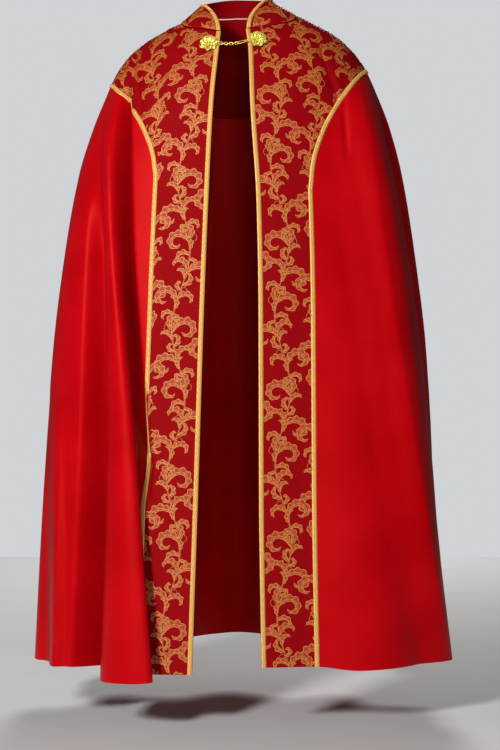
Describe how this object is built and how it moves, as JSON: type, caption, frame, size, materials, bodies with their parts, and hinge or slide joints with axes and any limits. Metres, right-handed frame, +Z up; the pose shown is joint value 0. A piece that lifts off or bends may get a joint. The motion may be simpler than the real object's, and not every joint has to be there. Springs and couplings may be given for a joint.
{
  "type": "cope vestment",
  "caption": "Floor-length open-fronted ceremonial cloak with brocade yoke and front bands, stand collar, gold braid and a chained clasp, in its worn hollow form.",
  "frame": {"origin": "the middle of the neck opening, where the wearer's neck and shoulders carry the garment", "axes": "+Z up towards the wearer's head, the open front faces -Y, +X towards the wearer's left"},
  "size_m": [0.8809, 0.6384, 1.4512],
  "materials": {
    "satin": "smooth woven satin with a soft sheen",
    "brocade": "woven brocade with a dull gold figure",
    "gold_braid": "interlaced metallic gimp braid",
    "gilt": "polished gilt casting"
  },
  "bodies": {
    "root": {"body": "satin", "back_yoke": "brocade", "collar": "brocade", "front_right": "brocade", "front_left": "brocade", "back_yoke_braid": "gold_braid", "collar_braid": "gold_braid", "edge_braid_right": "gold_braid", "edge_braid_left": "gold_braid", "seam_braid_right": "gold_braid", "seam_braid_left": "gold_braid", "rosette_right": "gilt", "rosette_left": "gilt", "chain_ring": "gilt", "chain_link_1": "gilt", "chain_link_2": "gilt", "chain_link_3": "gilt", "chain_link_4": "gilt", "chain_link_5": "gilt", "chain_link_6": "gilt", "chain_hook": "gilt"}
  },
  "joints": []
}
